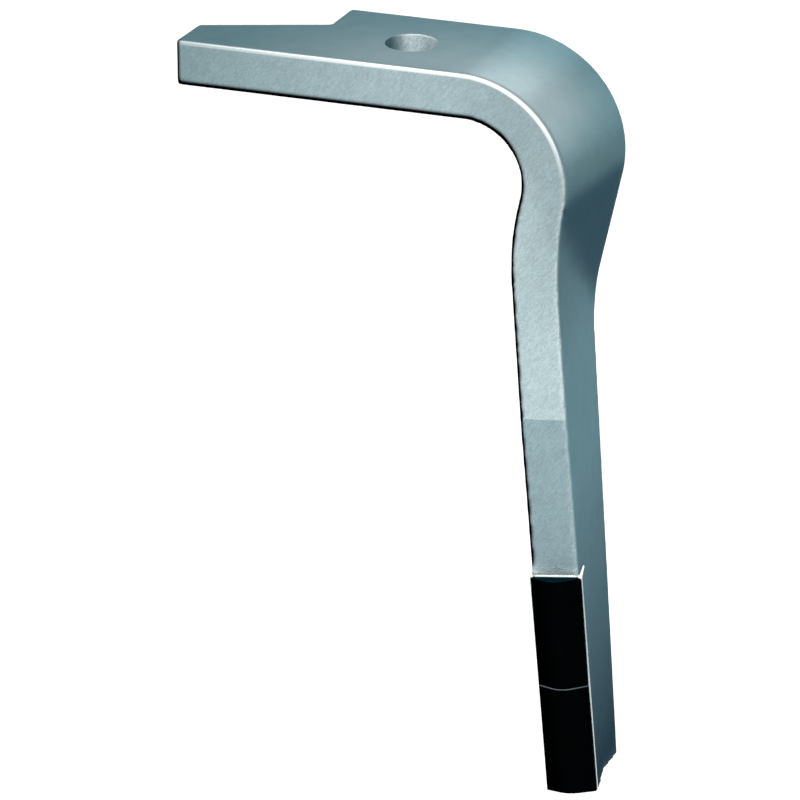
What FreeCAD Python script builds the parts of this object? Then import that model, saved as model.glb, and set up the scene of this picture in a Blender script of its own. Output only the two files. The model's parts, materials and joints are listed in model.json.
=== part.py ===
"""Power harrow tine: a forged blade on a flat shank, with two carbide tiles brazed on.

Frame: the origin is the bore axis where it leaves the shank's upper face.
+Z is up along the bore, +X runs along the shank toward the bend,
+Y runs from the leading (cutting) side to the trailing side.
The blade hangs down from the bend, so most of the part has negative Z.

In the blade's own frame X runs across its thickness, Y toward the trailing side
and Z up the blade, from the knee where the tile plane begins.
"""
import FreeCAD, Part
import math
import os

from FreeCAD import Vector

# Shank, seen from above: tail, step and full width
shank_thickness = 18.3
leading_side_y = -26.6
trailing_side_y = 30.5
end_x = -85.0
end_skew_deg = 3.8
tail_end_width = 20.3
tail_root_width = 37.6
tail_root_x = -36.4
step_skew_deg = 2.6

# Bore for the pin of the rotor holder
bore_radius = 10.0

# Blade: lean outward, rake forward, twist about the vertical, width toward the foot
blade_thickness = 18.66
blade_lean_deg = 5.18
blade_rake_deg = 0.4
blade_twist_deg = 6.3
knee_x = 54.78
knee_y = -31.0
knee_z = -137.0
blade_length = 152.1
ground_top_z = -72.0
blade_width_at_knee = 57.0
blade_width_taper = 0.0915

# Side profiles at the two narrow faces: fold height, inward lean, bend and fold radii
leading_outer = {"fold_z": -70.3, "lean_deg": 6.5, "bend": 42.0, "fold": 170.0}
leading_inner = {"fold_z": -66.0, "lean_deg": 11.0, "bend": 23.2, "fold": 100.0}
trailing_outer = {"fold_z": -106.1, "lean_deg": 12.25, "bend": 44.0, "fold": 92.0}
trailing_inner = {"fold_z": -106.3, "lean_deg": 12.25, "bend": 27.5, "fold": 110.0}

# Lower end, as depth behind the leading face and drop below the blade length
foot_outline = [(-20.0, -0.5), (1.2, 0.0), (5.5, 1.7), (17.0, -1.5), (75.0, 9.8)]

# Corners worn soft by forging and blasting, but not at the very end of the blade
edge_radius = 1.6
trailing_edge_radius = 1.5
rough_end = 1.0

# Carbide tiles, one above the other, and how far the blade's foot reaches past them
tile_width = 19.4
tile_length = 44.8
tile_to_foot = 0.6
tile_nose = 5.3
tile_roof_deg = 29.0
tile_nose_radius = 8.0
tile_foot_rise = 0.9
seat_depth = 1.2

# Braze filler
braze_gap = 0.4
bead_radius = 0.7
side_bead_length = 7.6
side_bead_rise = 1.3
seam_proud = 0.3

# Reach of the trimming shapes, well clear of the part, and the limit for a flat face
far = 60.0
blade_end_z = -330.0
profile_overrun = 6.0
flat_enough = 1e-6

knee_inner_point = Vector(knee_x, knee_y, knee_z)
tiles_end = blade_length - tile_to_foot
lower_tile_top = tiles_end - tile_length
tile_top = lower_tile_top - braze_gap - tile_length
seat_top = tile_top - braze_gap
tile_overhang = (tile_width - blade_thickness) / 2.0

down = Vector(
    math.tan(math.radians(blade_lean_deg)),
    -math.tan(math.radians(blade_rake_deg)),
    -1.0,
).normalize()
twist = math.radians(blade_twist_deg)
across = Vector(math.cos(twist), math.sin(twist), 0.0)
across = (across - down * across.dot(down)).normalize()
back = across.cross(down)


def to_blade(shape):
    """Place a shape drawn in the blade's own frame."""
    columns = (across, back, down * -1.0, knee_inner_point)
    rows = [[column[axis] for column in columns] for axis in range(3)]
    matrix = FreeCAD.Matrix(*rows[0], *rows[1], *rows[2], 0.0, 0.0, 0.0, 1.0)
    return shape.transformed(matrix)


def blade_box(x_range, y_range, top, bottom):
    """Box in the blade's frame, top and bottom as distances below the knee."""
    corner = Vector(x_range[0], y_range[0], -bottom)
    return to_blade(Part.makeBox(x_range[1] - x_range[0], y_range[1] - y_range[0], bottom - top, corner))


def broad_face_x(y, z, offset):
    """X of a broad blade face, a plane square to the across direction."""
    rest = across.y * (y - knee_inner_point.y) + across.z * (z - knee_inner_point.z)
    return knee_inner_point.x + (offset - rest) / across.x


def tile_plane_y(x, z):
    """Y of the plane that carries the tiles."""
    rest = back.x * (x - knee_inner_point.x) + back.z * (z - knee_inner_point.z)
    return knee_inner_point.y - rest / back.y


def joined(points):
    return [Part.LineSegment(a, b).toShape() for a, b in zip(points, points[1:])]


def rounded_chain(corners, radii):
    """Straight edges with a tangent arc at each inner corner."""
    edges = []
    start = corners[0]
    for before, corner, after, radius in zip(corners, corners[1:], corners[2:], radii):
        arriving = (before - corner).normalize()
        leaving = (after - corner).normalize()
        half = arriving.getAngle(leaving) / 2.0
        inward = (arriving + leaving).normalize()
        arc_start = corner + arriving * (radius / math.tan(half))
        arc_end = corner + leaving * (radius / math.tan(half))
        arc_middle = corner + inward * (radius / math.sin(half) - radius)
        edges += joined([start, arc_start])
        edges.append(Part.Arc(arc_start, arc_middle, arc_end).toShape())
        start = arc_end
    return edges + joined([start, corners[-1]])


def flank(y, lead, trail, shank_z, offset):
    """Corners and radii of one flank of the side profile in the plane at y."""
    share = (y - leading_side_y) / (trailing_side_y - leading_side_y)
    size = {key: lead[key] + (trail[key] - lead[key]) * share for key in lead}
    fold = Vector(broad_face_x(y, size["fold_z"], offset), y, size["fold_z"])
    run = math.tan(math.radians(size["lean_deg"])) * (shank_z - fold.z)
    corners = [
        Vector(end_x - far, y, shank_z),
        Vector(fold.x + run, y, shank_z),
        fold,
        Vector(broad_face_x(y, blade_end_z, offset), y, blade_end_z),
    ]
    return corners, [size["bend"], size["fold"]]


def side_profile(y):
    outer, outer_radii = flank(y, leading_outer, trailing_outer, 0.0, blade_thickness)
    inner, inner_radii = flank(y, leading_inner, trailing_inner, -shank_thickness, 0.0)
    edges = rounded_chain(outer, outer_radii) + joined([outer[-1], inner[-1]])
    return edges + rounded_chain(inner[::-1], inner_radii[::-1]) + joined([inner[0], outer[0]])


def band(near, away):
    """Face between two matching profile edges, a true plane where the four ends allow it."""
    ends = [near.firstVertex(True).Point, near.lastVertex(True).Point]
    ends += [away.lastVertex(True).Point, away.firstVertex(True).Point]
    straight = near.Curve.TypeId == "Part::GeomLine"
    normal = (ends[1] - ends[0]).cross(ends[3] - ends[0]).normalize()
    if straight and abs(normal.dot(ends[2] - ends[0])) < flat_enough:
        return Part.Face(Part.makePolygon(ends + ends[:1]))
    return Part.makeRuledSurface(near, away)


def bent_bar():
    """Bar swept between two different side profiles, so its fold runs down aslant."""
    near = side_profile(leading_side_y - profile_overrun)
    away = side_profile(trailing_side_y)
    faces = [band(a, b) for a, b in zip(near, away)]
    faces += [Part.Face(Part.Wire(near)), Part.Face(Part.Wire(away))]
    shell = Part.makeShell(faces)
    shell.sewShape()
    bar = Part.makeSolid(shell)
    if bar.Volume < 0.0:
        bar.reverse()
    return bar


def plan_limit():
    """Outline seen from above: skewed end, tapering tail, step to full width."""
    lean = math.tan(math.radians(end_skew_deg))
    step_lean = math.tan(math.radians(step_skew_deg))
    root_y = leading_side_y + tail_root_width
    clear_y = trailing_side_y + far
    corners = [
        Vector(end_x - lean * far, leading_side_y - far, blade_end_z),
        Vector(end_x + lean * tail_end_width, leading_side_y + tail_end_width, blade_end_z),
        Vector(tail_root_x, root_y, blade_end_z),
        Vector(tail_root_x + step_lean * (clear_y - root_y), clear_y, blade_end_z),
        Vector(2.0 * far, clear_y, blade_end_z),
        Vector(2.0 * far, leading_side_y - far, blade_end_z),
    ]
    outline = Part.makePolygon(corners + corners[:1])
    return Part.Face(outline).extrude(Vector(0.0, 0.0, far - blade_end_z))


def in_front_of_shank():
    """Space in front of the square leading side, down to the ground zone."""
    corner = Vector(end_x - far, leading_side_y - far, ground_top_z)
    return Part.makeBox(4.0 * far, far, 2.0 * far, corner)


def in_front_of_ground_zone():
    """Space in front of the warped face between the square side and the tile plane."""
    clear_y = leading_side_y - far
    knee_line = (knee_z, tile_plane_y(0.0, knee_z), tile_plane_y(2.0 * far, knee_z))
    sections = []
    for z, y0, y1 in ((ground_top_z, leading_side_y, leading_side_y), knee_line):
        corners = [
            Vector(0.0, y0, z),
            Vector(2.0 * far, y1, z),
            Vector(2.0 * far, clear_y, z),
            Vector(0.0, clear_y, z),
        ]
        sections.append(Part.makePolygon(corners + corners[:1]))
    return Part.makeLoft(sections, True, True)


def in_front_of_tile_plane():
    """Space in front of the plane that carries the tiles, from the knee down."""
    front = blade_box((-far, 2.0 * far), (-far, 0.0), -far, -blade_end_z)
    corner = Vector(end_x - far, leading_side_y - 2.0 * far, blade_end_z)
    below_knee = Part.makeBox(5.0 * far, 4.0 * far, knee_z - blade_end_z, corner)
    return front.common(below_knee)


def behind_blade():
    """Space behind the narrow trailing face, which runs forward toward the foot."""
    block = Part.makeBox(3.0 * far, far, 8.0 * far, Vector(-far, 0.0, -5.0 * far))
    block.rotate(Vector(), Vector(1.0, 0.0, 0.0), -math.degrees(math.atan(blade_width_taper)))
    block.translate(Vector(0.0, blade_width_at_knee, 0.0))
    return to_blade(block)


def below_foot():
    """Space under the slightly hollow lower end."""
    points = [Vector(-far, depth, -(blade_length + drop)) for depth, drop in foot_outline]
    points.append(Vector(-far, foot_outline[-1][0], blade_end_z))
    points.append(Vector(-far, foot_outline[0][0], blade_end_z))
    profile = Part.Face(Part.makePolygon(points + points[:1]))
    return to_blade(profile.extrude(Vector(3.0 * far, 0.0, 0.0)))


def sharp_edges(solid):
    """Edges above the foot whose two faces meet at a clear corner."""
    found = []
    for edge in solid.Edges:
        middle = edge.valueAt((edge.FirstParameter + edge.LastParameter) / 2.0)
        normals = []
        for face in solid.ancestorsOfType(edge, Part.Face):
            u, v = face.Surface.parameter(middle)
            normals.append(face.normalAt(u, v))
        corner = math.degrees(normals[0].getAngle(normals[-1]))
        if corner > 30.0 and middle.z > blade_end_z + rough_end:
            found.append(edge)
    return found


def bore():
    return Part.makeCylinder(bore_radius, 2.0 * far, Vector(0.0, 0.0, -far))


def forging():
    bar = bent_bar().common(plan_limit())
    bar = bar.cut([in_front_of_shank(), in_front_of_ground_zone(), in_front_of_tile_plane()]).Solids[0]
    bar = bar.makeFillet(edge_radius, sharp_edges(bar))
    blade = bar.cut(behind_blade()).Solids[0]
    blade = blade.makeFillet(trailing_edge_radius, sharp_edges(blade))
    seat = blade_box((-far, far), (-far, seat_depth), seat_top, -blade_end_z)
    return blade.cut([below_foot(), seat, bore()]).Solids[0]


def roof_section(top):
    """Tile section: flat back, low sides and a rounded roof toward the soil."""
    left = -tile_overhang
    right = left + tile_width
    rounding = tile_nose_radius / math.cos(math.radians(tile_roof_deg)) - tile_nose_radius
    ridge_y = -(tile_nose + rounding)
    eaves_y = ridge_y + math.tan(math.radians(tile_roof_deg)) * tile_width / 2.0
    rear_y = seat_depth - braze_gap
    eaves = [Vector(left, eaves_y, -top), Vector(right, eaves_y, -top)]
    ridge = Vector((left + right) / 2.0, ridge_y, -top)
    edges = rounded_chain([eaves[0], ridge, eaves[1]], [tile_nose_radius])
    edges += joined([eaves[1], Vector(right, rear_y, -top), Vector(left, rear_y, -top), eaves[0]])
    return Part.Face(Part.Wire(edges))


def tile(top):
    return to_blade(roof_section(top).extrude(Vector(0.0, 0.0, -tile_length)))


def tile_foot():
    """Space under the lower tile, rising toward its nose."""
    block = Part.makeBox(3.0 * far, 2.0 * far, far, Vector(-far, -far, -far))
    block.rotate(Vector(), Vector(1.0, 0.0, 0.0), -math.degrees(math.atan(tile_foot_rise / tile_nose)))
    block.translate(Vector(0.0, 0.0, -tiles_end))
    return to_blade(block)


def bead(start, run):
    """Half-sunk run of filler, rounded where it starts."""
    rod = Part.makeCylinder(bead_radius, run.Length, start, run)
    return rod.fuse(Part.makeSphere(bead_radius, start))


def braze(steel, tiles):
    """Film behind, between and above the tiles, seams down the sides and a bead on top."""
    side = tile_overhang + seam_proud
    seam_y = (seat_depth - braze_gap - seam_proud, seat_depth + seam_proud)
    film = blade_box((-side, blade_thickness + side), seam_y, seat_top, tiles_end)
    joint = to_blade(roof_section(tile_top + tile_length).extrude(Vector(0.0, 0.0, -braze_gap)))
    ledge = blade_box((0.0, blade_thickness), (0.0, seat_depth), seat_top, tile_top)
    line_z = -(seat_top + braze_gap / 2.0)
    corners = [Vector(0.0, 0.0, line_z), Vector(blade_thickness, 0.0, line_z)]
    runs = [bead(corner, Vector(0.0, side_bead_length, side_bead_rise)) for corner in corners]
    runs.append(bead(corners[0], corners[1] - corners[0]))
    filler = film.fuse([joint, ledge])
    for run in runs:
        filler = filler.fuse(to_blade(run))
    return filler.cut([steel] + tiles)


os.makedirs("parts", exist_ok=True)
tine = forging()
upper_tile = tile(tile_top)
lower_tile = tile(lower_tile_top).cut(tile_foot())
filler = braze(tine, [upper_tile, lower_tile])
for name, shape in (
    ("tine_forging", tine),
    ("carbide_tile_upper", upper_tile),
    ("carbide_tile_lower", lower_tile),
    ("braze_filler", filler),
):
    shape.exportStep("parts/" + name + ".step")
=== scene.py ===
"""Looks of the power harrow tine: a shot-blasted forging with brazed carbide tiles.

Metres, in the part's own frame: the origin is the bore's axis on the shank's upper face,
+X runs toward the bend, +Y from the leading side to the trailing side, +Z up.
A zone is a pair of values: a change begins at the first and is complete at the second, which
may be the smaller of the two.
"""
import json
import math

import bmesh
import bpy
import numpy
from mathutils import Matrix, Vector


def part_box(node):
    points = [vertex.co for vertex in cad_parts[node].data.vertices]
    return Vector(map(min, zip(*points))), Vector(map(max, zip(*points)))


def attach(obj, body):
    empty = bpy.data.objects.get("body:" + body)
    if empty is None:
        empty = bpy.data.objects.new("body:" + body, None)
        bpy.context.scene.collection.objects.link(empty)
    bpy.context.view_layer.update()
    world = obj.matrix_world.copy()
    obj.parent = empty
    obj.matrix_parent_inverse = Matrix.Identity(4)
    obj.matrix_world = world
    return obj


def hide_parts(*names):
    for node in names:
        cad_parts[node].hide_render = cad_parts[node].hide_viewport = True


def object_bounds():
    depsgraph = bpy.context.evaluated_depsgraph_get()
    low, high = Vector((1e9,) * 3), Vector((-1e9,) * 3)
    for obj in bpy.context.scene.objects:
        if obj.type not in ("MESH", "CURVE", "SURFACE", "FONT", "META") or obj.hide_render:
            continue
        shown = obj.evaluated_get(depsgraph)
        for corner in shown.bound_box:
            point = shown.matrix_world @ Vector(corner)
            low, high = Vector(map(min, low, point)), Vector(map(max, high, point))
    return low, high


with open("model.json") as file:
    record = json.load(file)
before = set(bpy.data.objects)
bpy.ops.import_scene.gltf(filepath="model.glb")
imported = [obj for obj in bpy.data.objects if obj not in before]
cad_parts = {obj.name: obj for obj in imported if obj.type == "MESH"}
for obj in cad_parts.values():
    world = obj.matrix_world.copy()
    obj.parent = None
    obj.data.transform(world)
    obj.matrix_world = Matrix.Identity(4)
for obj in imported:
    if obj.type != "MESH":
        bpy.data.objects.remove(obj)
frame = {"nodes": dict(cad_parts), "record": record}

cad_low, cad_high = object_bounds()
MM = 0.001

# Zone of a share from none to all
WHOLE = (0.0, 1.0)

# Photograph's view, fitted to the edges of the shank, the bore and the blade
CAMERA_TURN = 0.3442248
CAMERA_DROP = 0.4038978
CAMERA_DISTANCE = 1879.96 * MM
CAMERA_ASIDE = -4.1935 * MM
CAMERA_RAISE = -134.3845 * MM
CAMERA_REACH = 20.0
SENSOR_WIDTH = 36.0
FOCAL_LENGTH = 225.0

# Main places, some read from the record and the CAD
BORE_RADIUS = frame["record"]["mounts"][0]["dims"]["r_mm"] * MM
SHANK_THICKNESS = frame["record"]["mounts"][0]["dims"]["length_mm"] * MM
SHANK_FRONT_Y = -26.6 * MM
TAIL_X = -1.5 * BORE_RADIUS
KNEE_Z = -137.0 * MM
FOOT_Z = cad_low.z
UPPER_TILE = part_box("carbide_tile_upper")
TILE_TOP_Z = UPPER_TILE[1].z
TILE_MIDDLE_X = (UPPER_TILE[0].x + UPPER_TILE[1].x) / 2.0
TILE_JOINT_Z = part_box("carbide_tile_lower")[1].z

# The blade's front turns with the blade's twist: its y grows by this share of x
TWIST_SLOPE = 0.11
BLADE_FRONT_AT_BEAD = -38.0 * MM
BLADE_FRONT_AT_JOINT = -38.8 * MM

# Arcs of the bend at its front: x and z of the centre, then the radius
OUTER_ARC = (28.1 * MM, -42.0 * MM, 42.0 * MM)
INNER_ARC = (29.03 * MM, -41.5 * MM, 23.2 * MM)

# The front is ground brighter down to a line just above the knee, which climbs along X
GRIND_END_X = 54.8 * MM
GRIND_END_Z = -133.7 * MM
GRIND_END_SLOPE = 0.066
GRIND_STEP = (0.2 * MM, -0.2 * MM)
BELOW_GRIND = (0.0, -18.0 * MM)

# Zones of colour along the shank, round the bend and down the blade. The zones from the tail to
# the bore, into the bend and on the inner curve are painted light, and the zone toward the foot is
# painted shade
TAIL_TO_BORE_X = (-90.0 * MM, -5.0 * MM)
INTO_BEND_X = (28.0 * MM, 46.0 * MM)
FRONT_Y = (-10.0 * MM, -16.0 * MM)
INNER_CURVE_X = (66.0 * MM, 50.0 * MM)
INNER_CURVE_TOP_Z = (-25.0 * MM, -55.0 * MM)
INNER_CURVE_END_Z = (-100.0 * MM, -75.0 * MM)
GROUND_Z = (-55.0 * MM, -100.0 * MM)
FOLD_Z = (-30.0 * MM, -60.0 * MM)
LOWER_BLADE_Z = (-78.0 * MM, -115.0 * MM)
SHADED_TO_FOOT_Z = (-158.0 * MM, -282.0 * MM)

# Painted highlight on the steel just above the tiles, lifting the shade the upper tile casts
# there: a faint wide band and a strong narrow one
PAINTED_LIGHT_WIDE_Z = (TILE_TOP_Z + 5.0 * MM, TILE_TOP_Z + 1.2 * MM)
PAINTED_LIGHT_NARROW_Z = (TILE_TOP_Z + 1.4 * MM, TILE_TOP_Z + 0.6 * MM)
PAINTED_LIGHT_WIDE_SHARE = 0.27
PAINTED_LIGHT_NARROW_SHARE = 0.6

# Painted highlight line, across the upper front corner and back from the front face
EDGE_HIGHLIGHT_OUTER = (0.6 * MM, 0.1 * MM)
EDGE_HIGHLIGHT_INNER = (-2.0 * MM, -1.4 * MM)
EDGE_HIGHLIGHT_DEPTH = (3.5 * MM, 2.5 * MM)
EDGE_HIGHLIGHT_NARROWING = 0.8 * MM
EDGE_HIGHLIGHT_NARROWING_Z = (-18.0 * MM, -38.0 * MM)
EDGE_HIGHLIGHT_END_Z = (-41.0 * MM, -14.0 * MM)
EDGE_HIGHLIGHT_ALONG_X = (-85.0 * MM, 0.0)
EDGE_HIGHLIGHT_ALONG_SHARES = (0.35, 1.0)

# Painted shade: black line on the lower front corner, outward from the inner arc and back from the
# front face
BLACK_OUTER = (2.2 * MM, 1.6 * MM)
BLACK_DEPTH = (1.6 * MM, 1.2 * MM)
BLACK_THINNING = 0.2 * MM
BLACK_THINNING_X = (30.0 * MM, 52.0 * MM)
BLACK_END_Z = (-46.0 * MM, -41.0 * MM)

# Bore: its facets, its chamfers, and where its wall has a painted highlight at the rim and painted
# shade at both ends
BORE_SEGMENTS = 128
BORE_CHAMFER = 0.12 * MM
CHAMFER_RADIUS = BORE_RADIUS + BORE_CHAMFER
CHAMFER_EDGE = (CHAMFER_RADIUS, CHAMFER_RADIUS - 0.02 * MM)
WALL_EDGE = (BORE_RADIUS + 0.03 * MM, BORE_RADIUS + 0.01 * MM)
LIT_RIM_Z = (-0.8 * MM, -0.5 * MM)
LIT_RIM_ASIDE = (0.9 * BORE_RADIUS, 0.6 * BORE_RADIUS)
SHADED_LEFT_X = (-0.5 * BORE_RADIUS, -0.95 * BORE_RADIUS)
SHADED_RIGHT_X = (0.74 * BORE_RADIUS, 0.97 * BORE_RADIUS)

# Tools that plug and drill the bore, and the skin round it that counts as bore
PLUG_OVERLAP = 0.5 * MM
CONE_HEIGHT = 2.0 * MM
RIM_ANGLE = math.radians(25.0)
BORE_SKIN = 0.15 * MM

# Skin of the forging: remeshed, dented, and with a relief of grain and slanting wrinkles
SKIN_VOXEL = 0.85 * MM
SKIN_DENT = 0.09 * MM
DENT_SIZE = 7.0 * MM
GRAIN_SIZE = 0.7 * MM
WRINKLE_SIZE = 0.9 * MM
WRINKLE_SLANT = math.radians(-50.0)
WRINKLE_STRETCH = (3.0, 1.0, 1.0)
WRINKLE_DISTORTION = 1.2
WRINKLE_SHARE = 0.65
RELIEF_DETAIL = 2.0
RELIEF_HEIGHT = 0.45 * MM
RELIEF_STRENGTHS = (0.07, 0.9)
CLOUD_SIZE = 9.0 * MM
CLOUD_DETAIL = 5.0

# How the relief and the clouds break up the colour, as zones of their values and as shares
PITS = (0.60, 0.40)
PIT_SHARES = (0.04, 0.2)
MOTTLE = (0.35, 0.65)
MOTTLE_SHARE = 0.06
WORN_GRAIN = (0.35, 0.50)
# Zone of the relief that breaks up the painted highlight line
EDGE_HIGHLIGHT_GRAIN = (-0.4, 0.4)
DRILLED_GRAIN = (0.38, 0.62)
# Zone over which the painted shade on the lower front corner turns black
SHADED_EDGE = (0.04, 0.34)

# Roughness of the steel's broad and narrow faces, its worn corners and its drilled wall
STEEL_ROUGHNESS = (0.5, 0.55)
WORN_ROUGHNESS = 0.3
WALL_ROUGHNESS = 0.6
WALL_SMOOTHING = 0.5

# Shares of a vertex's normal from which its skin counts as facing one way
NARROW_ABOVE_KNEE = (0.72, 0.92)
NARROW_BELOW_KNEE = (0.50, 0.75)
DOWNWARD = (0.02, 0.13)
UPWARD = (0.6, 0.9)
EDGE_DOWN = (0.10, 0.30)
EDGE_INWARD = (0.30, 0.55)
EDGE_FORWARD = (0.12, 0.35)
WEAR_FORWARD = (0.62, 0.85)

# Corners: how sharply worn ones turn, in radians, and the stretch at the tiles kept free of
# painted shade
WORN_TURN = (0.04, 0.14)
WEAR_SHARE = 0.25
WEAR_KEPT_BELOW_KNEE = 0.5
SEAT_CLEARANCE = 3.0 * MM

# Passes that spread a painted value over its neighbours
SOFTEN = 1
EDGE_SPREAD = 6
SHADE_SPREAD = 50

# Painted highlight on the bend: it builds up along a slanting line and reaches back from the front
BEND_HIGHLIGHT_SLANT = 0.35
BEND_HIGHLIGHT_ALONG = (-70.0 * MM, 40.0 * MM)
BEND_HIGHLIGHT_HEIGHT_Z = (-42.0 * MM, -5.0 * MM)
BEND_HIGHLIGHT_DIP_START = (-15.0 * MM, 20.0 * MM)
BEND_HIGHLIGHT_DIP_END = (28.0 * MM, 45.0 * MM)
BEND_HIGHLIGHT_DIP_SHARE = 0.22
BEND_HIGHLIGHT_REACH_START = -38.0 * MM
BEND_HIGHLIGHT_REACH_FULL = 22.0 * MM
BEND_HIGHLIGHT_REACH_SHIFT = 6.0 * MM
BEND_HIGHLIGHT_REACH_SHIFT_ALONG = (0.0, 40.0 * MM)

# Tiles and filler
MERGE_DISTANCE = 0.002 * MM
TILE_EDGE_RADIUS = 0.35 * MM
TILE_EDGE_SEGMENTS = 3
TILE_CORNER = math.radians(35.0)
TILE_SMOOTH = math.radians(30.0)
CARBIDE_GRAIN_SIZE = 0.8 * MM
CARBIDE_DETAIL = 4.0
CARBIDE_RELIEF = 0.05 * MM
CARBIDE_STRENGTH = 0.2
CARBIDE_ROUGHNESS = 0.4
BRAZE_LUMP_SIZE = 1.2 * MM
BRAZE_DETAIL = 3.0
BRAZE_RELIEF = 0.15 * MM
BRAZE_STRENGTH = 0.3
BRAZE_ROUGHNESS = 0.35
BRAZE_SMOOTH = math.radians(40.0)
BRAZE_DULLS_Z = (TILE_TOP_Z, TILE_TOP_Z - 4.0 * MM)
JOINT_REACH = (3.0 * MM, 2.5 * MM)
JOINT_FRONT_Y = (BLADE_FRONT_AT_JOINT + 0.1 * MM, BLADE_FRONT_AT_JOINT - 0.1 * MM)
BEAD_BOTTOM_Z = TILE_TOP_Z - 2.0 * MM
BEAD_SWELLING = 0.3 * MM
OUTER_RUN_SLIMMING = -0.25 * MM
OUTER_RUN_START = 0.75 * MM

# Studio: a white floor under the hanging part, and softboxes by place, target, size and watts
FLOOR_DROP = 110.0 * MM
FLOOR_SIZE = 8.0
FLOOR_GLOW = 0.85
SKY_LEVELS = (0.2, 1.0)
SOFTBOXES = {
    "behind_high": ((0.05, 0.95, 0.55), (0.03, 0.0, -0.02), (0.7, 0.5), 2.9),
    "behind_right": ((0.6, 0.9, 0.10), (0.06, 0.0, -0.10), (0.5, 0.5), 1.45),
    "front_right": ((0.6, -1.0, 0.10), (0.03, -0.03, -0.12), (0.6, 0.6), 1.6),
    "top_front": ((-0.22, -0.45, 0.85), (0.0, 0.0, 0.0), (0.5, 0.3), 2.0),
}


def linear(code):
    """Linear RGBA of an sRGB hex colour."""
    shares = [int(code[i:i + 2], 16) / 255.0 for i in (1, 3, 5)]
    return [s / 12.92 if s <= 0.04045 else ((s + 0.055) / 1.055) ** 2.4 for s in shares] + [1.0]


def node(tree, kind, settings=None, inputs=None):
    """Add a node with its settings; an input takes a number, a colour or another socket."""
    made = tree.nodes.new(kind)
    for name, value in (settings or {}).items():
        setattr(made, name, value)
    for name, value in (inputs or {}).items():
        if isinstance(value, bpy.types.NodeSocket):
            tree.links.new(value, made.inputs[name])
        else:
            made.inputs[name].default_value = value
    return made


def new_material(name):
    material = bpy.data.materials.new(name)
    material.use_nodes = True
    material.node_tree.nodes.clear()
    return material, material.node_tree


def attribute(tree, name):
    """Value painted on the vertices."""
    return node(tree, "ShaderNodeAttribute", {"attribute_name": name}).outputs["Fac"]


def calculate(tree, operation, first, second):
    return node(tree, "ShaderNodeMath", {"operation": operation}, {0: first, 1: second}).outputs[0]


def times(tree, first, second):
    return calculate(tree, "MULTIPLY", first, second)


def length(tree, x, y):
    sides = node(tree, "ShaderNodeCombineXYZ", None, {"X": x, "Y": y}).outputs[0]
    measure = {"operation": "LENGTH"}
    return node(tree, "ShaderNodeVectorMath", measure, {0: sides}).outputs["Value"]


def ramp(tree, value, zone, results=WHOLE):
    """Straight change across a zone from one result to the other, level on both sides of it."""
    inputs = {
        "Value": value, "From Min": zone[0], "From Max": zone[1],
        "To Min": results[0], "To Max": results[1]}
    return node(tree, "ShaderNodeMapRange", {"clamp": True}, inputs).outputs["Result"]


def blend_numbers(tree, share, first, second):
    inputs = {0: share, 2: first, 3: second}
    return node(tree, "ShaderNodeMix", {"data_type": "FLOAT"}, inputs).outputs[0]


def blend_colours(tree, share, first, second):
    inputs = {0: share, 6: first, 7: second}
    return node(tree, "ShaderNodeMix", {"data_type": "RGBA"}, inputs).outputs[2]


def layered(tree, base, layers):
    """Colours laid over a first one, each by its own share."""
    colour = linear(base)
    for share, code in layers:
        colour = blend_colours(tree, share, colour, linear(code))
    return colour


def noise(tree, place, size, detail, distortion=0.0):
    """Noise whose features have a real size."""
    inputs = {"Vector": place, "Scale": 1.0 / size, "Detail": detail, "Distortion": distortion}
    return node(tree, "ShaderNodeTexNoise", None, inputs).outputs["Fac"]


def bumped(tree, height, distance, strength):
    inputs = {"Height": height, "Distance": distance, "Strength": strength}
    return node(tree, "ShaderNodeBump", None, inputs).outputs[0]


def metal(tree, inputs):
    """Close the material with a metal surface."""
    shader = node(tree, "ShaderNodeBsdfPrincipled", None, {"Metallic": 1.0, **inputs})
    node(tree, "ShaderNodeOutputMaterial", None, {"Surface": shader.outputs[0]})


def outside_arc(tree, axes, arc):
    """Distance outward from an arc of the bend and from the straight shank that runs into it."""
    centre_x, centre_z, radius = arc
    past = calculate(tree, "MAXIMUM", calculate(tree, "SUBTRACT", axes["X"], centre_x), 0.0)
    above = calculate(tree, "SUBTRACT", axes["Z"], centre_z)
    return calculate(tree, "SUBTRACT", length(tree, past, above), radius)


def painted_edge_highlight(tree, axes):
    """Painted highlight on the lower two thirds of the upper front corner and a hair of the front
    face.

    The line narrows where the bar turns down, ends below the bend and fades toward the tail.
    """
    behind_front = calculate(tree, "SUBTRACT", axes["Y"], SHANK_FRONT_Y)
    across = calculate(tree, "ADD", behind_front, outside_arc(tree, axes, OUTER_ARC))
    narrowing = times(tree, ramp(tree, axes["Z"], EDGE_HIGHLIGHT_NARROWING_Z), EDGE_HIGHLIGHT_NARROWING)
    outer = ramp(tree, calculate(tree, "ADD", across, narrowing), EDGE_HIGHLIGHT_OUTER)
    band = times(tree, outer, ramp(tree, across, EDGE_HIGHLIGHT_INNER))
    band = times(tree, band, ramp(tree, behind_front, EDGE_HIGHLIGHT_DEPTH))
    along = ramp(tree, axes["X"], EDGE_HIGHLIGHT_ALONG_X, EDGE_HIGHLIGHT_ALONG_SHARES)
    return times(tree, band, times(tree, ramp(tree, axes["Z"], EDGE_HIGHLIGHT_END_Z), along))


def black_line(tree, axes):
    """Painted shade on the lower front corner and the inside of the bend, thinner where the bar
    runs down.
    """
    behind_front = calculate(tree, "SUBTRACT", axes["Y"], SHANK_FRONT_Y)
    thinner = times(tree, ramp(tree, axes["X"], BLACK_THINNING_X), BLACK_THINNING)
    outward = calculate(tree, "ADD", outside_arc(tree, axes, INNER_ARC), thinner)
    depth = ramp(tree, behind_front, BLACK_DEPTH)
    band = times(tree, ramp(tree, outward, BLACK_OUTER), depth)
    return times(tree, band, ramp(tree, axes["Z"], BLACK_END_Z))


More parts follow.
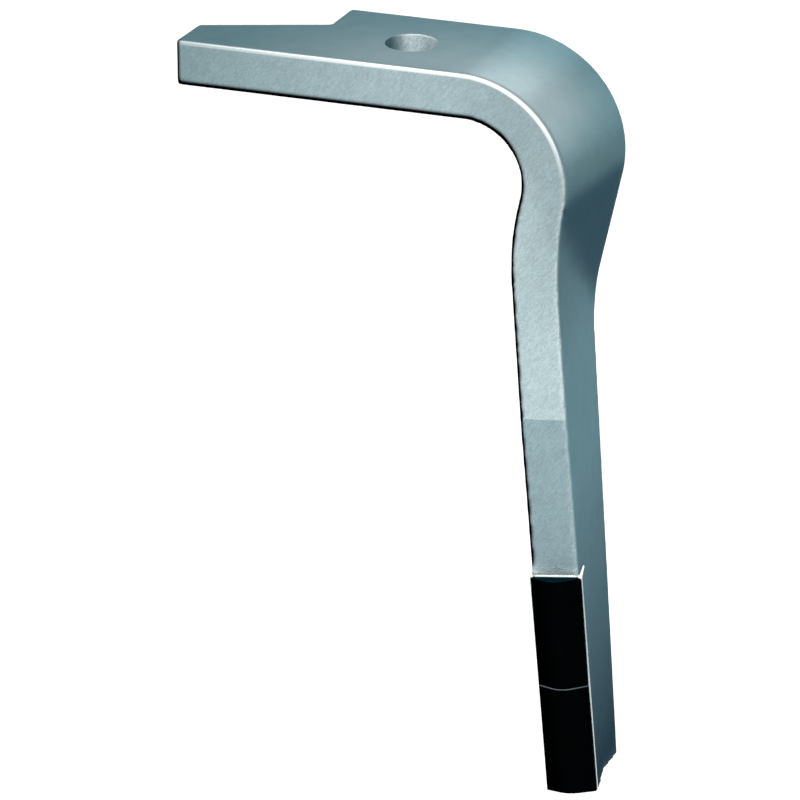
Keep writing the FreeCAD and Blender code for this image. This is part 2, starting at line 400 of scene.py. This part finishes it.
def front_colour(tree, axes):
    """Narrow faces: brightest where ground; painted light from tail to bore, into the bend and on
    the inner curve; a painted highlight over the tiles; painted shade toward the foot.
    """
    tilt = times(tree, calculate(tree, "SUBTRACT", axes["X"], GRIND_END_X), GRIND_END_SLOPE)
    grind_end = calculate(tree, "ADD", tilt, GRIND_END_Z)
    over_grind_end = calculate(tree, "SUBTRACT", axes["Z"], grind_end)
    on_front = ramp(tree, axes["Y"], FRONT_Y)
    inner_height = times(
        tree, ramp(tree, axes["Z"], INNER_CURVE_TOP_Z), ramp(tree, axes["Z"], INNER_CURVE_END_Z))
    # Painted highlight just above the tiles, lifting the shade the upper tile casts there
    lit_above_tiles = calculate(
        tree, "MAXIMUM",
        times(tree, ramp(tree, axes["Z"], PAINTED_LIGHT_WIDE_Z), PAINTED_LIGHT_WIDE_SHARE),
        times(tree, ramp(tree, axes["Z"], PAINTED_LIGHT_NARROW_Z), PAINTED_LIGHT_NARROW_SHARE))
    return layered(tree, "#8CA5A9", [
        # Painted light: brighter from the tail toward the bore, then a little darker into the bend
        (ramp(tree, axes["X"], TAIL_TO_BORE_X), "#B2C7CB"),
        (ramp(tree, axes["X"], INTO_BEND_X), "#A7BBBF"),
        (ramp(tree, axes["Z"], GROUND_Z), "#C5D9DC"),
        # Painted highlight on the inner side of the front below the bend
        (times(tree, ramp(tree, axes["X"], INNER_CURVE_X), inner_height), "#C5D8DA"),
        (times(tree, on_front, ramp(tree, over_grind_end, GRIND_STEP)), "#9FB8BE"),
        (ramp(tree, over_grind_end, BELOW_GRIND), "#9DB5BB"),
        # Painted shade: darker toward the foot
        (ramp(tree, axes["Z"], SHADED_TO_FOOT_Z), "#778E95"),
        # Painted highlight just above the tiles
        (times(tree, on_front, lit_above_tiles), "#F4FBFB"),
    ])


def broad_colour(tree, axes):
    """Broad faces: tempered skin, with painted shade darker and bluer toward the foot, a painted
    highlight on the bend and painted shade underneath.
    """
    return layered(tree, "#638086", [
        (ramp(tree, axes["Z"], FOLD_Z), "#5C777D"),
        (ramp(tree, axes["Z"], LOWER_BLADE_Z), "#698A92"),
        # Painted shade: darker and bluer toward the foot
        (ramp(tree, axes["Z"], SHADED_TO_FOOT_Z), "#092935"),
        # Painted highlight on the bend
        (attribute(tree, "bend_highlight"), "#97A7AA"),
        # Painted shade on what faces down
        (attribute(tree, "shaded_underneath"), "#38515B"),
    ])


def bore_colour(tree, axes, relief, from_axis, skin):
    """Drilled wall and chamfer laid over the skin: bright, with a painted highlight at the rim and
    painted shade at both ends.
    """
    aside = calculate(tree, "ABSOLUTE", axes["X"], 0.0)
    # Painted highlight along the wall's upper rim
    lit_rim = times(tree, ramp(tree, axes["Z"], LIT_RIM_Z), ramp(tree, aside, LIT_RIM_ASIDE))
    # Painted shade at the wall's left end, also on the chamfer
    shaded_left = ramp(tree, axes["X"], SHADED_LEFT_X)
    wall = layered(tree, "#CCDCDF", [
        (ramp(tree, relief, DRILLED_GRAIN), "#F6FDFE"),
        (lit_rim, "#FFFFFF"),
        (shaded_left, "#64838B"),
        # Painted shade at the wall's right end
        (ramp(tree, axes["X"], SHADED_RIGHT_X), "#5F7A82"),
    ])
    chamfer = layered(tree, "#DDE8E8", [(shaded_left, "#93ABB1")])
    colour = blend_colours(tree, ramp(tree, from_axis, CHAMFER_EDGE), skin, chamfer)
    return blend_colours(tree, ramp(tree, from_axis, WALL_EDGE), colour, wall)


def skin_relief(tree, place):
    """Blasted grain crossed by short wrinkles that slant down the faces."""
    slant = node(tree, "ShaderNodeMapping", {"vector_type": "TEXTURE"}, {
        "Vector": place, "Rotation": (0.0, WRINKLE_SLANT, 0.0), "Scale": WRINKLE_STRETCH})
    wrinkle = noise(tree, slant.outputs[0], WRINKLE_SIZE, RELIEF_DETAIL, WRINKLE_DISTORTION)
    grain = noise(tree, place, GRAIN_SIZE, RELIEF_DETAIL)
    return blend_numbers(tree, WRINKLE_SHARE, grain, wrinkle)


def blasted_colour(tree, place, axes, relief, narrow):
    """Faces of the forging, pitted where the relief is low and faintly clouded."""
    pits = times(tree, ramp(tree, relief, PITS), ramp(tree, narrow, WHOLE, PIT_SHARES))
    cloud = noise(tree, place, CLOUD_SIZE, CLOUD_DETAIL)
    mottle = times(tree, ramp(tree, cloud, MOTTLE), MOTTLE_SHARE)
    colour = blend_colours(tree, narrow, broad_colour(tree, axes), front_colour(tree, axes))
    colour = blend_colours(tree, pits, colour, linear("#3C5359"))
    return blend_colours(tree, mottle, colour, linear("#101A1E"))


def forged_steel():
    """Hot-forged boron steel, hardened and shot-blasted.

    Satin blue-grey metal. The narrow faces took the full blast: bright, with grain about a
    millimetre wide and short slanting forging wrinkles. The broad faces keep a smoother and
    darker tempered skin; what faces down is painted darker as shade, and the lower front corner
    carries a black painted shade line. A painted highlight runs along the upper front corner and
    another lies on the bend; the worn outward corners are lighter, which also paints in their
    highlights. The front below the fold is ground brighter. Painted shade makes the steel darker
    and bluer toward the foot, and a painted highlight lifts it just above the tiles. The bore's
    wall is drilled bright, with a painted highlight at its rim and painted shade at its ends.
    """
    material, tree = new_material("shot_blasted_forged_steel")
    place = node(tree, "ShaderNodeTexCoord").outputs["Object"]
    axes = node(tree, "ShaderNodeSeparateXYZ", None, {0: place}).outputs
    narrow = attribute(tree, "narrow_face")
    relief = skin_relief(tree, place)
    from_axis = length(tree, axes["X"], axes["Y"])
    in_wall = ramp(tree, from_axis, WALL_EDGE)

    # Worn outward corners, lighter and smoother, which also paints in their highlights
    wear = times(tree, attribute(tree, "worn_edge_and_highlight"), ramp(tree, relief, WORN_GRAIN))
    # Painted highlight line along the upper front corner, broken up by the relief
    edge_highlight = times(tree, painted_edge_highlight(tree, axes), ramp(tree, relief, EDGE_HIGHLIGHT_GRAIN))
    bright = calculate(tree, "MAXIMUM", wear, edge_highlight)
    # Painted shade: black along the lower front corner and inside the bend
    shaded = ramp(tree, attribute(tree, "shaded_edge"), SHADED_EDGE)
    black = calculate(tree, "MAXIMUM", shaded, black_line(tree, axes))
    colour = blasted_colour(tree, place, axes, relief, narrow)
    # Worn corners and the painted highlight line turn near white
    colour = blend_colours(tree, bright, colour, linear("#F4F9F9"))
    colour = blend_colours(tree, black, colour, linear("#020405"))
    colour = bore_colour(tree, axes, relief, from_axis, colour)

    smoothed = calculate(tree, "MAXIMUM", edge_highlight, times(tree, in_wall, WALL_SMOOTHING))
    coarse = calculate(tree, "SUBTRACT", narrow, smoothed)
    strength = ramp(tree, coarse, WHOLE, RELIEF_STRENGTHS)
    roughness = ramp(tree, narrow, WHOLE, STEEL_ROUGHNESS)
    roughness = blend_numbers(tree, wear, roughness, WORN_ROUGHNESS)
    roughness = blend_numbers(tree, in_wall, roughness, WALL_ROUGHNESS)
    metal(tree, {
        "Base Color": colour, "Roughness": roughness, "Specular Tint": linear("#AFB5BB"),
        "Normal": bumped(tree, relief, RELIEF_HEIGHT, strength)})
    return material


def sintered_carbide():
    """Tungsten carbide, pressed and sintered: a near-black dense metal, dry and very fine-grained.

    The end that faces up is painted a little lighter and bluer as a highlight.
    """
    material, tree = new_material("sintered_tungsten_carbide")
    place = node(tree, "ShaderNodeTexCoord").outputs["Object"]
    grain = noise(tree, place, CARBIDE_GRAIN_SIZE, CARBIDE_DETAIL)
    colour = layered(tree, "#000101", [
        (grain, "#040607"),
        # Painted highlight on the end that faces up
        (attribute(tree, "facing_up"), "#21363B"),
    ])
    metal(tree, {
        "Base Color": colour, "Roughness": CARBIDE_ROUGHNESS,
        "Specular Tint": linear("#9AA4A8"),
        "Normal": bumped(tree, grain, CARBIDE_RELIEF, CARBIDE_STRENGTH)})
    return material


def silver_braze():
    """Silver brazing alloy, run and cooled: bright and slightly lumpy on top, duller in seams.

    The joint line between the tiles is worn down and shows grey.
    """
    material, tree = new_material("silver_brazing_alloy")
    place = node(tree, "ShaderNodeTexCoord").outputs["Object"]
    axes = node(tree, "ShaderNodeSeparateXYZ", None, {0: place}).outputs
    lumps = noise(tree, place, BRAZE_LUMP_SIZE, BRAZE_DETAIL)
    untwisted = calculate(tree, "SUBTRACT", axes["Y"], times(tree, axes["X"], TWIST_SLOPE))
    height = calculate(tree, "SUBTRACT", axes["Z"], TILE_JOINT_Z)
    off_joint = calculate(tree, "ABSOLUTE", height, 0.0)
    in_front = ramp(tree, untwisted, JOINT_FRONT_Y)
    joint = times(tree, ramp(tree, off_joint, JOINT_REACH), in_front)
    bright = layered(tree, "#F0F5F5", [(lumps, "#FFFFFF")])
    seam = layered(tree, "#B4C2C4", [(lumps, "#E4EDED"), (joint, "#59666C")])
    colour = blend_colours(tree, ramp(tree, axes["Z"], BRAZE_DULLS_Z), bright, seam)
    metal(tree, {
        "Base Color": colour, "Roughness": BRAZE_ROUGHNESS,
        "Normal": bumped(tree, lumps, BRAZE_RELIEF, BRAZE_STRENGTH)})
    return material


def only(piece):
    """Make a piece the one that operators act on."""
    bpy.ops.object.select_all(action="DESELECT")
    piece.select_set(True)
    bpy.context.view_layer.objects.active = piece


def coat(piece, material):
    """Give the piece one material in place of the CAD's."""
    piece.data.materials.clear()
    piece.data.materials.append(material)


def merged_copy(node_name, piece_name):
    """A CAD node's mesh with its loose triangles joined up, as a new piece."""
    piece = bpy.data.objects.new(piece_name, frame["nodes"][node_name].data.copy())
    bpy.context.scene.collection.objects.link(piece)
    only(piece)
    bpy.ops.object.mode_set(mode="EDIT")
    bpy.ops.mesh.select_all(action="SELECT")
    bpy.ops.mesh.remove_doubles(threshold=MERGE_DISTANCE)
    bpy.ops.object.mode_set(mode="OBJECT")
    return piece


def fatten(piece, chosen, amount):
    """Grow the chosen part of the piece along its normals; a negative amount shrinks it."""
    bpy.ops.object.mode_set(mode="EDIT")
    bpy.ops.mesh.select_mode(type="VERT")
    bpy.ops.mesh.select_all(action="DESELECT")
    bpy.ops.object.mode_set(mode="OBJECT")
    for vertex in piece.data.vertices:
        vertex.select = chosen(vertex)
    bpy.ops.object.mode_set(mode="EDIT")
    bpy.ops.transform.shrink_fatten(value=amount)
    bpy.ops.object.mode_set(mode="OBJECT")


def apply_modifiers(piece):
    only(piece)
    for modifier in list(piece.modifiers):
        bpy.ops.object.modifier_apply(modifier=modifier.name)


def paint(piece, name, value_at, passes=0):
    """Store one number per vertex for the finish, spread over its neighbours in passes."""
    mesh = piece.data
    values = numpy.array([value_at(vertex) for vertex in mesh.vertices])
    ends = numpy.empty(2 * len(mesh.edges), dtype=numpy.int64)
    mesh.edges.foreach_get("vertices", ends)
    starts = numpy.concatenate([ends[0::2], ends[1::2]])
    stops = numpy.concatenate([ends[1::2], ends[0::2]])
    near = numpy.maximum(1, numpy.bincount(starts, minlength=len(values)))
    for _ in range(passes):
        spread = numpy.bincount(starts, weights=values[stops], minlength=len(values)) / near
        values = (values + spread) / 2.0
    layer = mesh.attributes.new(name, "FLOAT", "POINT")
    layer.data.foreach_set("value", values)


def straight_step(value, zone):
    share = (value - zone[0]) / (zone[1] - zone[0])
    return min(1.0, max(0.0, share))


def smooth_step(value, zone):
    share = straight_step(value, zone)
    return share * share * (3.0 - 2.0 * share)


def convexity(piece):
    """How sharply the skin turns outward at each vertex, in radians."""
    mesh = bmesh.new()
    mesh.from_mesh(piece.data)
    turns = []
    for vertex in mesh.verts:
        angles = [edge.calc_face_angle_signed(0.0) for edge in vertex.link_edges]
        turns.append(sum(angles) / max(1, len(angles)))
    mesh.free()
    return turns


def in_bore(vertex):
    return math.hypot(vertex.co.x, vertex.co.y) < BORE_RADIUS + BORE_SKIN


def narrowness(vertex):
    """How squarely the skin faces the front, the back or the tail's end."""
    on_tail = vertex.co.z > -SHANK_THICKNESS and vertex.co.x < TAIL_X
    facing = max(abs(vertex.normal.y), abs(vertex.normal.x) if on_tail else 0.0)
    zone = NARROW_BELOW_KNEE if vertex.co.z < KNEE_Z else NARROW_ABOVE_KNEE
    return smooth_step(facing, zone)


# Painted shade on what faces down, left off the bore
def shade_underneath(vertex):
    return 0.0 if in_bore(vertex) else smooth_step(-vertex.normal.z, DOWNWARD)


def under_edge(vertex):
    """The front corner's lower or inner half, painted black as shade."""
    at_seat = abs(vertex.co.z - TILE_TOP_Z) < SEAT_CLEARANCE
    if in_bore(vertex) or vertex.normal.y > 0.0 or at_seat:
        return 0.0
    down = smooth_step(-vertex.normal.z, EDGE_DOWN)
    inward = smooth_step(-vertex.normal.x, EDGE_INWARD)
    return max(down, inward) * smooth_step(-vertex.normal.y, EDGE_FORWARD)


def edge_wear(vertex, turn):
    """Outward corners worn slightly lighter and smoother, which also paints in their highlights;
    less below the knee.
    """
    facing_front = smooth_step(abs(vertex.normal.y), WEAR_FORWARD)
    kept = 1.0 if vertex.co.z > KNEE_Z else WEAR_KEPT_BELOW_KNEE
    worn = WEAR_SHARE * kept * facing_front * smooth_step(turn, WORN_TURN)
    return worn * (1.0 - under_edge(vertex))


def painted_bend_highlight(vertex):
    """Painted highlight over the front half of the bend, dipping a little just before it."""
    along = vertex.co.x - BEND_HIGHLIGHT_SLANT * (vertex.co.y - SHANK_FRONT_Y)
    over = straight_step(along, BEND_HIGHLIGHT_ALONG) * smooth_step(vertex.co.z, BEND_HIGHLIGHT_HEIGHT_Z)
    dip = smooth_step(along, BEND_HIGHLIGHT_DIP_START) - smooth_step(along, BEND_HIGHLIGHT_DIP_END)
    shift = BEND_HIGHLIGHT_REACH_SHIFT * straight_step(along, BEND_HIGHLIGHT_REACH_SHIFT_ALONG)
    reach = smooth_step(-vertex.co.y, (BEND_HIGHLIGHT_REACH_START + shift, BEND_HIGHLIGHT_REACH_FULL))
    return over * (1.0 - BEND_HIGHLIGHT_DIP_SHARE * dip) * reach


def cut_away(piece, tool):
    """Take the tool's shape out of the piece and delete the tool."""
    cut = piece.modifiers.new("cut", "BOOLEAN")
    cut.operation = "DIFFERENCE"
    cut.solver = "EXACT"
    cut.object = tool
    apply_modifiers(piece)
    only(tool)
    bpy.ops.object.delete()


def bore_cylinder(radius, depth):
    """Cylinder on the bore's axis, its middle halfway through the shank."""
    bpy.ops.object.select_all(action="DESELECT")
    bpy.ops.mesh.primitive_cylinder_add(
        vertices=BORE_SEGMENTS, radius=radius, depth=depth,
        location=(0.0, 0.0, -SHANK_THICKNESS / 2.0))
    return bpy.context.active_object


def chamfer_cone(face_z, outward):
    """Cone that opens outward through one face of the shank and cuts the bore's chamfer."""
    tight, wide = BORE_RADIUS - SKIN_DENT, BORE_RADIUS + CONE_HEIGHT - SKIN_DENT
    middle = CONE_HEIGHT / 2.0 - BORE_CHAMFER - SKIN_DENT
    below, above = (tight, wide) if outward > 0.0 else (wide, tight)
    bpy.ops.object.select_all(action="DESELECT")
    bpy.ops.mesh.primitive_cone_add(
        vertices=BORE_SEGMENTS, radius1=below, radius2=above, depth=CONE_HEIGHT,
        location=(0.0, 0.0, face_z + outward * middle))
    return bpy.context.active_object


def plug_bore(piece):
    """Fill the bore before the skin is made, so that it can be drilled clean afterwards."""
    bore_cylinder(BORE_RADIUS + PLUG_OVERLAP, SHANK_THICKNESS)
    piece.select_set(True)
    bpy.context.view_layer.objects.active = piece
    bpy.ops.object.join()


def drill_bore(piece):
    """Drill the plugged shank again, with a small chamfer on both rims."""
    cut_away(piece, bore_cylinder(BORE_RADIUS, 2.0 * SHANK_THICKNESS))
    cut_away(piece, chamfer_cone(0.0, 1.0))
    cut_away(piece, chamfer_cone(-SHANK_THICKNESS, -1.0))


def sharpen_bore_rims(piece):
    """Keep the drilled wall and its chamfers from shading into the skin round them."""
    mesh = bmesh.new()
    mesh.from_mesh(piece.data)
    for edge in mesh.edges:
        off_wall = [abs(math.hypot(v.co.x, v.co.y) - BORE_RADIUS) for v in edge.verts]
        if max(off_wall) < 2.0 * BORE_CHAMFER and edge.calc_face_angle(0.0) > RIM_ANGLE:
            edge.smooth = False
    mesh.to_mesh(piece.data)
    mesh.free()


def roughen_skin(piece):
    """Remesh the forging evenly and press shallow dents into it."""
    remesh = piece.modifiers.new("skin", "REMESH")
    remesh.mode = "VOXEL"
    remesh.voxel_size = SKIN_VOXEL
    remesh.use_smooth_shade = True
    hammering = bpy.data.textures.new("hammering", "CLOUDS")
    hammering.noise_scale = DENT_SIZE
    dents = piece.modifiers.new("dents", "DISPLACE")
    dents.texture = hammering
    dents.texture_coords = "LOCAL"
    dents.strength = SKIN_DENT
    dents.mid_level = 1.0
    apply_modifiers(piece)


def forged_body():
    """The forging with a lightly uneven skin and a bore drilled through it."""
    piece = merged_copy("tine_forging", "forged_tine")
    plug_bore(piece)
    roughen_skin(piece)
    drill_bore(piece)
    sharpen_bore_rims(piece)
    turns = convexity(piece)
    paint(piece, "narrow_face", narrowness, SOFTEN)
    paint(piece, "worn_edge_and_highlight", lambda v: edge_wear(v, turns[v.index]), SOFTEN)
    # Painted shade on what faces down, spread wide
    paint(piece, "shaded_underneath", shade_underneath, SHADE_SPREAD)
    # Painted shade on the lower and inner half of the front corner
    paint(piece, "shaded_edge", under_edge, EDGE_SPREAD)
    # Painted highlight on the bend
    paint(piece, "bend_highlight", painted_bend_highlight)
    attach(piece, "root")
    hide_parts("tine_forging")
    coat(piece, forged_steel())


def carbide_tiles():
    """Both tiles with their long corners rounded."""
    finish = sintered_carbide()
    for name in ("carbide_tile_upper", "carbide_tile_lower"):
        tile = merged_copy(name, name + "_ground")
        rounding = tile.modifiers.new("rounding", "BEVEL")
        rounding.width = TILE_EDGE_RADIUS
        rounding.segments = TILE_EDGE_SEGMENTS
        rounding.limit_method = "ANGLE"
        rounding.angle_limit = TILE_CORNER
        apply_modifiers(tile)
        bpy.ops.object.shade_smooth_by_angle(angle=TILE_SMOOTH)
        # Painted highlight share on what faces up
        paint(tile, "facing_up", lambda v: smooth_step(v.normal.z, UPWARD))
        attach(tile, "root")
        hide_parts(name)
        coat(tile, finish)


def above_tiles(vertex):
    return vertex.co.z > BEAD_BOTTOM_Z


def in_outer_run(vertex):
    """On the bead's side run along the blade's outer face."""
    behind_front = vertex.co.y - TWIST_SLOPE * vertex.co.x - BLADE_FRONT_AT_BEAD
    return vertex.co.x > TILE_MIDDLE_X and behind_front > OUTER_RUN_START


def braze_run():
    """The filler, its bead swollen over the tiles and its outer side run slimmer."""
    filler = merged_copy("braze_filler", "braze_run")
    fatten(filler, lambda v: above_tiles(v) and not in_outer_run(v), BEAD_SWELLING)
    fatten(filler, lambda v: above_tiles(v) and in_outer_run(v), OUTER_RUN_SLIMMING)
    bpy.ops.object.shade_smooth_by_angle(angle=BRAZE_SMOOTH)
    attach(filler, "root")
    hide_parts("braze_filler")
    coat(filler, silver_braze())


def camera():
    """The photograph's view, from the leading side and above."""
    east, north = math.cos(CAMERA_TURN), math.sin(CAMERA_TURN)
    sine, cosine = math.sin(CAMERA_DROP), math.cos(CAMERA_DROP)
    right = Vector((east, north, 0.0))
    raised = Vector((-north * sine, east * sine, cosine))
    ahead = Vector((-north * cosine, east * cosine, -sine))
    lens = bpy.data.cameras.new("view")
    lens.sensor_width = SENSOR_WIDTH
    lens.lens = FOCAL_LENGTH
    lens.clip_end = CAMERA_REACH
    holder = bpy.data.objects.new("view", lens)
    holder.location = right * CAMERA_ASIDE + raised * CAMERA_RAISE - ahead * CAMERA_DISTANCE
    holder.rotation_mode = "QUATERNION"
    holder.rotation_quaternion = ahead.to_track_quat("-Z", "Y")
    bpy.context.scene.collection.objects.link(holder)
    bpy.context.scene.camera = holder


def softbox(name, place, target, size, watts):
    """White area lamp that faces its target."""
    lamp = bpy.data.lights.new(name, "AREA")
    lamp.shape = "RECTANGLE"
    lamp.size, lamp.size_y = size
    lamp.energy = watts
    holder = bpy.data.objects.new(name, lamp)
    holder.location = place
    holder.rotation_mode = "QUATERNION"
    holder.rotation_quaternion = (Vector(target) - Vector(place)).to_track_quat("-Z", "Y")
    bpy.context.scene.collection.objects.link(holder)


def seen_directly(tree):
    """1 for camera, mirror and glass rays, which see the plain white surroundings."""
    path = node(tree, "ShaderNodeLightPath").outputs
    first = calculate(tree, "MAXIMUM", path["Is Camera Ray"], path["Is Glossy Ray"])
    return calculate(tree, "MAXIMUM", first, path["Is Transmission Ray"])


def white_floor():
    """Matt floor that takes the shadow and glows white for the camera."""
    bpy.ops.object.select_all(action="DESELECT")
    bpy.ops.mesh.primitive_plane_add(size=FLOOR_SIZE, location=(0.0, 0.0, FOOT_Z - FLOOR_DROP))
    floor = bpy.context.active_object
    floor.name = "floor"
    material, tree = new_material("white_floor")
    matt = node(tree, "ShaderNodeBsdfDiffuse", None, {"Color": linear("#F2F2F2")})
    glow = node(tree, "ShaderNodeEmission", None, {
        "Strength": times(tree, seen_directly(tree), FLOOR_GLOW)})
    both = node(tree, "ShaderNodeAddShader", None, {0: matt.outputs[0], 1: glow.outputs[0]})
    node(tree, "ShaderNodeOutputMaterial", None, {"Surface": both.outputs[0]})
    floor.data.materials.append(material)


def white_surroundings():
    """Sky that is white to look at and lights the part only faintly."""
    world = bpy.data.worlds.new("studio")
    bpy.context.scene.world = world
    world.use_nodes = True
    world.node_tree.nodes.clear()
    tree = world.node_tree
    level = ramp(tree, seen_directly(tree), WHOLE, SKY_LEVELS)
    sky = node(tree, "ShaderNodeBackground", None, {"Color": linear("#FFFFFF"), "Strength": level})
    node(tree, "ShaderNodeOutputWorld", None, {"Surface": sky.outputs[0]})


forged_body()
carbide_tiles()
braze_run()
camera()
white_floor()
white_surroundings()
for name, (place, target, size, watts) in SOFTBOXES.items():
    softbox(name, place, target, size, watts)
bpy.context.scene.view_settings.view_transform = "Standard"
